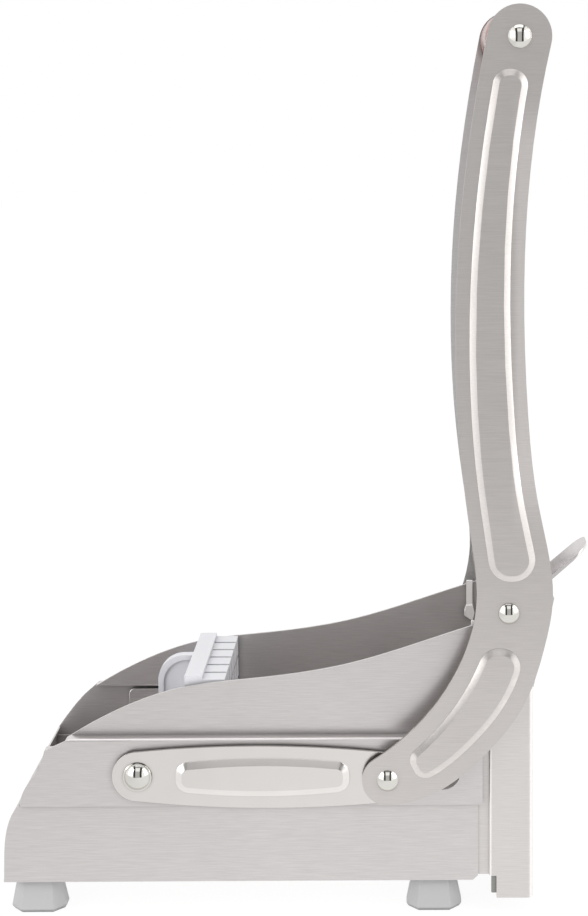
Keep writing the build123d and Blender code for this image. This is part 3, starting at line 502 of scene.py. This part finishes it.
@dataclass(frozen=True)
class ArmSteel(BrushedSteel):
    """Brushed plate of a lever arm, whose rear strip is painted a little brighter, as a highlight.

    Attributes:
        strip_front: where the brighter strip starts, along X.
        strip_foot: height from which it shows.
        strip_top: height at which it ends.
        side_fade: length over which it fades in along X.
        foot_fade: half the height over which it fades in at its foot.
        top_fade: half the height over which it fades out at its top.
        strip_highlight_gain: how much brighter it is.
    """

    strip_front: float = 102 * MM
    strip_foot: float = 205 * MM
    strip_top: float = 385 * MM
    side_fade: float = 5 * MM
    foot_fade: float = 20 * MM
    top_fade: float = 15 * MM
    strip_highlight_gain: float = 0.24

    def extra_tones(self, tree: bpy.types.NodeTree, place: bpy.types.Node) -> list[bpy.types.NodeSocket]:
        """Give the brighter strip, a painted highlight.

        Args:
            tree: node tree to add to.
            place: the tree's texture coordinates.

        Returns:
            One socket, 1 outside the strip and 1 + strip_highlight_gain inside it.
        """
        axes = add_node(tree, "ShaderNodeSeparateXYZ", {"Vector": place.outputs["Object"]})
        inside: float | bpy.types.NodeSocket = 1.0
        for axis, start, end in (("X", self.strip_front, self.strip_front + self.side_fade),
                                 ("Z", self.strip_foot - self.foot_fade, self.strip_foot + self.foot_fade),
                                 ("Z", self.strip_top + self.top_fade, self.strip_top - self.top_fade)):
            fade = add_node(tree, "ShaderNodeMapRange", {
                "Value": axes.outputs[axis], "From Min": start, "From Max": end,
                "To Min": 0.0, "To Max": inside}, interpolation_type="SMOOTHSTEP")
            inside = fade.outputs["Result"]
        # painted highlight of the rear strip
        return [spread(tree, inside, 1 + self.strip_highlight_gain / 2, self.strip_highlight_gain / 2, (0.0, 1.0))]


Finish = BrushedSteel | SatinSteel | MouldedPlastic | LacqueredBeech

# Stainless sheet, belt-brushed along the chute: warm light grey walls with level lines.
WALL_SHEET = BrushedSteel("stainless_sheet_brushed_along", "#DAD6D5", painted_shade_depth=0.5, contrast=0.07)
# The same sheet where its lines run across the chute, on the front and rear faces.
CROSS_SHEET = BrushedSteel("stainless_sheet_brushed_across", "#D8D4D3", grain=Grain.ALONG_Y)
# The end frame's sheet, with a stronger painted highlight on its bends and less painted shade in its joints.
FRAME_SHEET = BrushedSteel("stainless_sheet_brushed_folded", "#E0DCDA", painted_shade_depth=0.3, painted_highlight_gain=0.36)
# Guides behind the frame's walls, with the mill's dull rolled surface, and coloured dark as painted shade for
# their place deep inside the frame.
GUIDE_SHEET = SatinSteel("stainless_sheet_mill_finish_painted_shade", "#9A9B97", roughness=0.42)
# Thicker stainless plate of the arms, brushed level and then pressed, with painted highlights on its slopes and
# rear strip.
ARM_PLATE = ArmSteel("stainless_plate_brushed_pressed", "#D3CECB", roughness=0.33, painted_highlight_gain=0.34)
# The far arm's copy of the plate, cooler and paler: painted light that lifts its shaded inner face.
FAR_ARM_PLATE = ArmSteel("stainless_plate_brushed_pressed_painted_lighter", "#DAD9DA", roughness=0.33, painted_highlight_gain=0.34)
# Links are pressed and tumbled, so they are smoother and paler; the slopes of their pads get a painted
# highlight.
LINK_PLATE = SatinSteel("stainless_plate_pressed_tumbled", "#E1DDDA", roughness=0.24, contrast=0.02,
                        painted_highlight_gain=0.2)
# Cold-headed rivets, polished: they mirror the studio, with deep painted shade where they meet other pieces.
RIVET = SatinSteel("steel_headed_polished", "#DDDBD5", roughness=0.07, contrast=0.01, painted_shade_depth=0.85)
# Ground knife steel of the grid, smoother than the sheet.
BLADE = BrushedSteel("stainless_blade_ground", "#D8D6D2", roughness=0.22, grain=Grain.ALONG_Y)
# Spring strip of the clips, tinned and left matt: nearly white.
SPRING = SatinSteel("spring_strip_tinned_matt", "#F2F0ED", roughness=0.5, metallic=0.3, painted_shade_depth=0.25)
# Zinc-plated screws and closed rivet ends.
SCREW = SatinSteel("steel_zinc_plated", "#B9B8B4", roughness=0.3)
# Moulded polypropylene pusher: cool white, and a little translucent in its thin gusset.
PUSHER = MouldedPlastic("polypropylene_moulded", "#E8E8EC", roughness=0.4, glow=0.15, painted_shade_reach=4 * MM,
                        painted_shade_depth=0.35)
# Moulded feet in light cool grey.
FOOT = MouldedPlastic("thermoplastic_moulded_grey", "#C6C6C7", roughness=0.45)
# Turned nylon sliders and bushes.
NYLON = MouldedPlastic("nylon_turned", "#D9D7CF", roughness=0.35, glow=0.1)
# Wooden grip between the arms.
GRIP = LacqueredBeech("beech_stained_lacquered", "#9E543F", "#723426")


def both_sides(*names: str) -> list[str]:
    """Give the near and the far node of each name.

    Args:
        names: node names without their side.

    Returns:
        The names with _near and _far added.
    """
    return [f"{name}_{side}" for name in names for side in ("near", "far")]


@dataclass
class Workshop:
    """What every sub-assembly works on: the loaded frame, and the materials made so far.

    Attributes:
        palette: materials by name.
    """

    frame: dict
    palette: dict[str, bpy.types.Material] = field(default_factory=dict)

    def paint(self, piece: bpy.types.Object, finish: Finish) -> None:
        """Give a piece one finish.

        Args:
            piece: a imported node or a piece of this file.
            finish: the finish.
        """
        if finish.name not in self.palette:
            self.palette[finish.name] = finish.material()
        piece.data.materials.clear()
        piece.data.materials.append(self.palette[finish.name])


@dataclass
class SubAssembly:
    """Pieces that are made and finished together.

    Attributes:
        title: what the group is called in the log.
        edge: radius to which its edges are rounded.
        sharp_angle: edges that turn by more than this, in degrees, are rounded.
        steps: facets across a rounded edge.
        weld_reach: corners of facets closer than this are joined first.
        flat_angle: facets that turn by less than this, in degrees, are made one.
    """

    title: str = "sub-assembly"
    edge: float = 0.2 * MM
    sharp_angle: float = 32.0
    steps: int = 2
    weld_reach: float = 0.002 * MM
    flat_angle: float = 0.5

    def finishes(self) -> dict[str, Finish]:
        """Name the group's nodes and the finish of each."""
        return {}

    def build(self, workshop: Workshop) -> None:
        """Dress every node of the group.

        Args:
            workshop: the loaded frame and the palette.
        """
        for name, finish in self.finishes().items():
            node = workshop.frame["nodes"][name]
            workshop.paint(node, finish)
            self.round_edges(node)
            log.info("%s: %s in %s", self.title, name, finish.name)

    def round_edges(self, node: bpy.types.Object) -> None:
        """Round a node's edges with modifiers.

        Args:
            node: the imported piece.
        """
        weld = node.modifiers.new("join_facets", "WELD")
        weld.merge_threshold = self.weld_reach
        flat = node.modifiers.new("merge_flat_facets", "DECIMATE")
        flat.decimate_type, flat.angle_limit = "DISSOLVE", math.radians(self.flat_angle)
        bevel = node.modifiers.new("round_edges", "BEVEL")
        bevel.width, bevel.segments = self.edge, self.steps
        bevel.limit_method, bevel.angle_limit = "ANGLE", math.radians(self.sharp_angle)
        split = node.modifiers.new("keep_corners", "EDGE_SPLIT")
        split.split_angle = math.radians(self.sharp_angle)


@dataclass
class SheetBody(SubAssembly):
    """Tray, apron, floor, side panels and end frame, folded from 1 mm sheet."""

    title: str = "sheet body"
    edge: float = 0.45 * MM
    steps: int = 3

    def finishes(self) -> dict[str, Finish]:
        """Name the sheets and the finish of each."""
        along = dict.fromkeys(["base_tray", "chute_deck"], WALL_SHEET) | {"end_frame": FRAME_SHEET}
        walls = dict.fromkeys(both_sides("side_panel"), WALL_SHEET)
        guides = dict.fromkeys(both_sides("cassette_guide"), GUIDE_SHEET)
        return along | walls | guides | {"front_apron": CROSS_SHEET}


@dataclass
class BodyFittings(SubAssembly):
    """Pivot rivets with their spacers, and the clips beside the cassette."""

    title: str = "body fittings"

    def finishes(self) -> dict[str, Finish]:
        """Name the fittings and the finish of each."""
        return (dict.fromkeys(both_sides("pivot_pin"), RIVET) | dict.fromkeys(both_sides("pivot_bush"), NYLON)
                | dict.fromkeys(both_sides("retaining_clip"), SPRING))


@dataclass
class Feet(SubAssembly):
    """Four moulded feet with the screws that hold them."""

    title: str = "feet"
    edge: float = 1.1 * MM
    sharp_angle: float = 25.0
    steps: int = 3

    def finishes(self) -> dict[str, Finish]:
        """Name the feet and the finish of each."""
        return dict.fromkeys(both_sides("foot_front", "foot_rear"), FOOT) | {"foot_screws": SCREW}


@dataclass
class Lever(SubAssembly):
    """Two bowed arms, the turned grip between them and their rivets.

    Attributes:
        grip_radius: radius of the turned bar.
        grip_chamfer: cut off its two rims.
        grip_facets: flat facets round it.
    """

    title: str = "lever"
    edge: float = 0.7 * MM
    sharp_angle: float = 12.0
    steps: int = 3
    grip_radius: float = 14.3 * MM
    grip_chamfer: float = 0.8 * MM
    grip_facets: int = 96

    def finishes(self) -> dict[str, Finish]:
        """Name the lever's pieces and the finish of each."""
        return ({"lever_arm_near": ARM_PLATE, "lever_arm_far": FAR_ARM_PLATE, "grip_screws": RIVET}
                | dict.fromkeys(both_sides("link_rivet"), RIVET))

    def build(self, workshop: Workshop) -> None:
        """Dress the lever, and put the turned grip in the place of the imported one.

        Args:
            workshop: the loaded frame and the palette.
        """
        super().build(workshop)
        grip = self.turn_grip()
        workshop.paint(grip, GRIP)
        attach(grip, "lever")
        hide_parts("grip")
        log.info("%s: turned grip in %s", self.title, GRIP.name)

    def turn_grip(self) -> bpy.types.Object:
        """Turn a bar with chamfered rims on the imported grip's axis.

        Returns:
            The bar, smooth round its faces.
        """
        low, high = (Vector(corner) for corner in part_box("grip"))
        axis, end = (low + high) / 2, high.y
        rim = [(end, self.grip_radius - self.grip_chamfer), (end - self.grip_chamfer, self.grip_radius)]
        rings = [(-y, radius) for y, radius in rim] + [(y, radius) for y, radius in reversed(rim)]
        count = self.grip_facets
        turns = [2 * math.pi * i / count for i in range(count)]
        points = [(axis.x + radius * math.cos(turn), y, axis.z + radius * math.sin(turn))
                  for y, radius in rings for turn in turns]
        starts = range(0, len(points), count)
        faces = [(start + i, start + (i + 1) % count, start + count + (i + 1) % count, start + count + i)
                 for start in starts[:-1] for i in range(count)]
        faces += [tuple(reversed(range(count))), tuple(range(starts[-1], len(points)))]
        grip = add_mesh("turned_grip", points, faces)
        for face in grip.data.polygons:
            face.use_smooth = len(face.vertices) == 4
        return grip


@dataclass
class Links(SubAssembly):
    """Two barrel-shaped links with their raised pads."""

    title: str = "links"
    edge: float = 0.6 * MM
    sharp_angle: float = 12.0
    steps: int = 3

    def finishes(self) -> dict[str, Finish]:
        """Name the links' pieces and the finish of each."""
        return (dict.fromkeys(both_sides("link_plate"), LINK_PLATE)
                | dict.fromkeys(both_sides("link_tail"), SCREW))


@dataclass
class Carriage(SubAssembly):
    """Folded bracket, moulded pusher, slide pins and sliders."""

    title: str = "carriage"
    edge: float = 0.5 * MM

    def finishes(self) -> dict[str, Finish]:
        """Name the carriage's pieces and the finish of each."""
        return ({"carriage_bracket": WALL_SHEET, "pusher_block": PUSHER, "pusher_screws": SCREW}
                | dict.fromkeys(both_sides("slide_pin", "pin_washer"), RIVET)
                | dict.fromkeys(both_sides("slot_roller"), NYLON))


@dataclass
class BladeCassette(SubAssembly):
    """Blade grid in its rim, with the tab that lifts it out."""

    title: str = "blade cassette"
    edge: float = 0.15 * MM

    def finishes(self) -> dict[str, Finish]:
        """Name the cassette's pieces and the finish of each."""
        return (dict.fromkeys(["cassette_frame", "blades_upright", "blades_level"], BLADE)
                | {"lift_tab": CROSS_SHEET, "tab_rivets": SCREW})


@dataclass
class Softbox:
    """A rectangular studio lamp aimed at the dicer.

    Attributes:
        name: the lamp's name.
        place: position of its centre.
        aim: point that it faces.
        width: width of its cloth.
        height: height of its cloth.
        power: power in watts.
    """

    name: str
    place: tuple[float, float, float]
    aim: tuple[float, float, float]
    width: float
    height: float
    power: float

    def build(self) -> None:
        """Add the lamp to the scene."""
        lamp = bpy.data.lights.new(self.name, "AREA")
        lamp.shape, lamp.size, lamp.size_y, lamp.energy = "RECTANGLE", self.width, self.height, self.power
        holder = add_object(self.name, lamp)
        holder.location = self.place
        holder.rotation_euler = (Vector(self.aim) - Vector(self.place)).to_track_quat("-Z", "Y").to_euler()
        holder.visible_camera = False


@dataclass
class Studio:
    """White table in a studio with a white backdrop, two tall softboxes and a broad one overhead.

    Polished and brushed steel mirror the table up to its front edge, then the wall behind the camera, the two
    legs of its dark stand, the lit boom above it, the bright screens beside it, and the dark ceiling.

    Attributes:
        table_front: how far the table reaches in front of the dicer.
        table_half: how far it reaches to the left and the right.
        table_back: how far it reaches behind.
        paint: sRGB hex colour of the table top's laminate.
        seen_table: level of the table where the camera sees it.
        left_table: level that steel mirrors from the table's left part.
        left_edges: where along X that part ends, and where the middle one starts.
        mirrored_share: share of these levels in what is seen; the rest is laminate that takes the shadow.
        fill: level of the light from all round.
        backdrop: level of the backdrop behind the dicer.
        backdrop_edges: where the room ends and the backdrop starts, as sines of a direction.
        far_wall: level that steel mirrors from behind the camera.
        lamp_boom: level of the lit boom above the camera.
        boom_edges: where the wall ends and the boom starts, as sines.
        camera_stand: level of the dark stand's legs.
        stand_edges: inner and outer edge of each leg, as sines.
        stand_blur: half the width of these edges.
        side_wall: level beside them, where the softboxes light white screens.
        ceiling: level of the dark ceiling.
        ceiling_edges: where the walls end and it starts, as sines.
        softboxes: the lamps.
    """

    table_front: float = 0.55
    table_half: float = 3.0
    table_back: float = 5.0
    paint: str = "#F6F6F6"
    seen_table: float = 1.06
    left_table: float = 0.87
    left_edges: tuple[float, float] = (-0.2, 0.0)
    mirrored_share: float = 0.88
    fill: float = 0.62
    backdrop: float = 1.0
    backdrop_edges: tuple[float, float] = (0.1, 0.6)
    far_wall: float = 0.57
    lamp_boom: float = 1.15
    boom_edges: tuple[float, float] = (0.5, 0.62)
    camera_stand: float = 0.05
    stand_edges: tuple[float, float] = (0.26, 0.48)
    stand_blur: float = 0.02
    side_wall: float = 1.2
    ceiling: float = 0.25
    ceiling_edges: tuple[float, float] = (0.8, 0.9)
    softboxes: list[Softbox] = field(default_factory=lambda: [
        Softbox("left_softbox", (-1.25, -0.95, 0.75), aim=(0.0, 0.0, 0.2), width=0.9, height=1.3, power=9.0),
        Softbox("right_softbox", (1.35, -0.75, 0.75), aim=(0.0, 0.0, 0.2), width=0.8, height=1.3, power=8.0),
        Softbox("top_softbox", (0.0, -0.1, 1.7), aim=(0.0, 0.0, 0.1), width=1.2, height=0.9, power=5.0),
    ])

    def build(self) -> None:
        """Build the table, the world and the lamps."""
        self.build_table()
        self.build_world()
        for softbox in self.softboxes:
            softbox.build()
        log.info("studio: table and %d lamps", len(self.softboxes))

    @staticmethod
    def shows_backdrop(tree: bpy.types.NodeTree) -> bpy.types.NodeSocket:
        """Find whether a ray shows the backdrop itself, in the picture or in polished metal.

        Args:
            tree: node tree to add to.

        Returns:
            A socket that is 1 for camera, glossy and transmission rays, and 0 otherwise.
        """
        path = add_node(tree, "ShaderNodeLightPath")
        seen = add_node(tree, "ShaderNodeMath", {
            0: path.outputs["Is Camera Ray"], 1: path.outputs["Is Glossy Ray"]}, operation="MAXIMUM")
        seen = add_node(tree, "ShaderNodeMath", {
            0: seen.outputs["Value"], 1: path.outputs["Is Transmission Ray"]}, operation="MAXIMUM")
        return seen.outputs["Value"]

    def build_table(self) -> None:
        """Lay a pale table top that stays white and keeps the object's soft shadow."""
        left, right, front, back = -self.table_half, self.table_half, -self.table_front, self.table_back
        corners = [(left, front, 0), (right, front, 0), (right, back, 0), (left, back, 0)]
        table = add_mesh("table_top", corners, [(0, 1, 2, 3)])
        table.data.materials.append(self.laminate())

    def laminate(self) -> bpy.types.Material:
        """Make the table top's white laminate.

        Returns:
            A material that shows the backdrop's level to the camera and to metal, and takes a soft shadow.
        """
        material = empty_material("white_laminate")
        tree = material.node_tree
        paint = add_node(tree, "ShaderNodeBsdfDiffuse", {"Color": linear(self.paint)})
        place = add_node(tree, "ShaderNodeTexCoord")
        axes = add_node(tree, "ShaderNodeSeparateXYZ", {"Vector": place.outputs["Object"]})
        left_end, middle_start = self.left_edges
        dimmed = add_node(tree, "ShaderNodeMapRange", {
            "Value": axes.outputs["X"], "From Min": left_end, "From Max": middle_start,
            "To Min": self.left_table, "To Max": 1.0})
        path = add_node(tree, "ShaderNodeLightPath")
        level = add_node(tree, "ShaderNodeMix", {
            "Factor": path.outputs["Is Camera Ray"], "A": dimmed.outputs["Result"], "B": self.seen_table})
        white = add_node(tree, "ShaderNodeEmission", {
            "Color": linear(WHITE), "Strength": level.outputs["Result"]})
        share = add_node(tree, "ShaderNodeMath", {
            0: self.shows_backdrop(tree), 1: self.mirrored_share}, operation="MULTIPLY")
        mixed = add_node(tree, "ShaderNodeMixShader", {
            0: share.outputs["Value"], 1: paint.outputs["BSDF"], 2: white.outputs["Emission"]})
        add_node(tree, "ShaderNodeOutputMaterial", {"Surface": mixed.outputs["Shader"]})
        return material

    def build_world(self) -> None:
        """Make the white backdrop, the room behind the camera and an even fill light."""
        world = bpy.data.worlds.new("studio_room")
        bpy.context.scene.world = world
        world.use_nodes = True
        tree = world.node_tree
        tree.nodes.clear()
        path = add_node(tree, "ShaderNodeLightPath")
        shown = add_node(tree, "ShaderNodeMath", {
            0: path.outputs["Is Camera Ray"], 1: self.room_level(tree)}, operation="MAXIMUM")
        level = add_node(tree, "ShaderNodeMix", {
            "Factor": self.shows_backdrop(tree), "A": self.fill, "B": shown.outputs["Value"]})
        light = add_node(tree, "ShaderNodeBackground", {
            "Color": linear(WHITE), "Strength": level.outputs["Result"]})
        add_node(tree, "ShaderNodeOutputWorld", {"Surface": light.outputs["Background"]})

    def room_level(self, tree: bpy.types.NodeTree) -> bpy.types.NodeSocket:
        """Set how bright metal mirrors the room in each direction, from the wall behind the camera outwards.

        Args:
            tree: node tree to add to.

        Returns:
            A socket with the level.
        """
        place = add_node(tree, "ShaderNodeTexCoord")
        axes = add_node(tree, "ShaderNodeSeparateXYZ", {"Vector": place.outputs["Generated"]})
        aside = add_node(tree, "ShaderNodeMath", {0: axes.outputs["X"]}, operation="ABSOLUTE")
        beside, behind, above = aside.outputs["Value"], axes.outputs["Y"], axes.outputs["Z"]
        inner, outer = self.stand_edges
        level: float | bpy.types.NodeSocket = self.far_wall
        for direction, start, end, beyond in (
                (above, *self.boom_edges, self.lamp_boom),
                (beside, inner - self.stand_blur, inner + self.stand_blur, self.camera_stand),
                (beside, outer - self.stand_blur, outer + self.stand_blur, self.side_wall),
                (above, *self.ceiling_edges, self.ceiling),
                (behind, *self.backdrop_edges, self.backdrop)):
            step = add_node(tree, "ShaderNodeMapRange", {
                "Value": direction, "From Min": start, "From Max": end,
                "To Min": level, "To Max": beyond}, interpolation_type="SMOOTHSTEP")
            level = step.outputs["Result"]
        return level


@dataclass
class SideCamera:
    """Camera at the height of the grip, looking a little down at the near side.

    Attributes:
        place: position of the lens.
        pitch: degrees below level.
        roll: degrees by which the picture turns anticlockwise.
        focal_pixels: focal length in pixels of the picture.
        axis_pixel: pixel that the lens axis meets.
    """

    place: tuple[float, float, float] = (0.0558, -0.8371, 0.4009)
    pitch: float = 6.0
    roll: float = 0.3
    focal_pixels: float = 1715.4
    axis_pixel: tuple[float, float] = (409.75, 265.07)

    def build(self) -> None:
        """Add the camera and make it the scene's."""
        camera = bpy.data.cameras.new("side_camera")
        holder = add_object("side_camera", camera)
        long_side = max(PICTURE_WIDTH, PICTURE_HEIGHT)
        camera.lens = self.focal_pixels / long_side * camera.sensor_width
        camera.shift_x = (PICTURE_WIDTH / 2 - self.axis_pixel[0]) / long_side
        camera.shift_y = (self.axis_pixel[1] - PICTURE_HEIGHT / 2) / long_side
        turn = (Matrix.Rotation(math.radians(90 - self.pitch), 4, "X")
                @ Matrix.Rotation(math.radians(-self.roll), 4, "Z"))
        holder.matrix_world = Matrix.Translation(self.place) @ turn
        bpy.context.scene.camera = holder


def main() -> None:
    """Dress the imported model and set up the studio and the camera."""
    logging.basicConfig(level=logging.INFO, format="%(name)s: %(message)s")
    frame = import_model()
    bpy.context.scene.view_settings.view_transform = "Standard"
    SideCamera().build()
    Studio().build()
    workshop = Workshop(frame)
    for group in (SheetBody(), BodyFittings(), Feet(), Lever(), Links(), Carriage(), BladeCassette()):
        group.build(workshop)


if __name__ == "__main__":
    main()
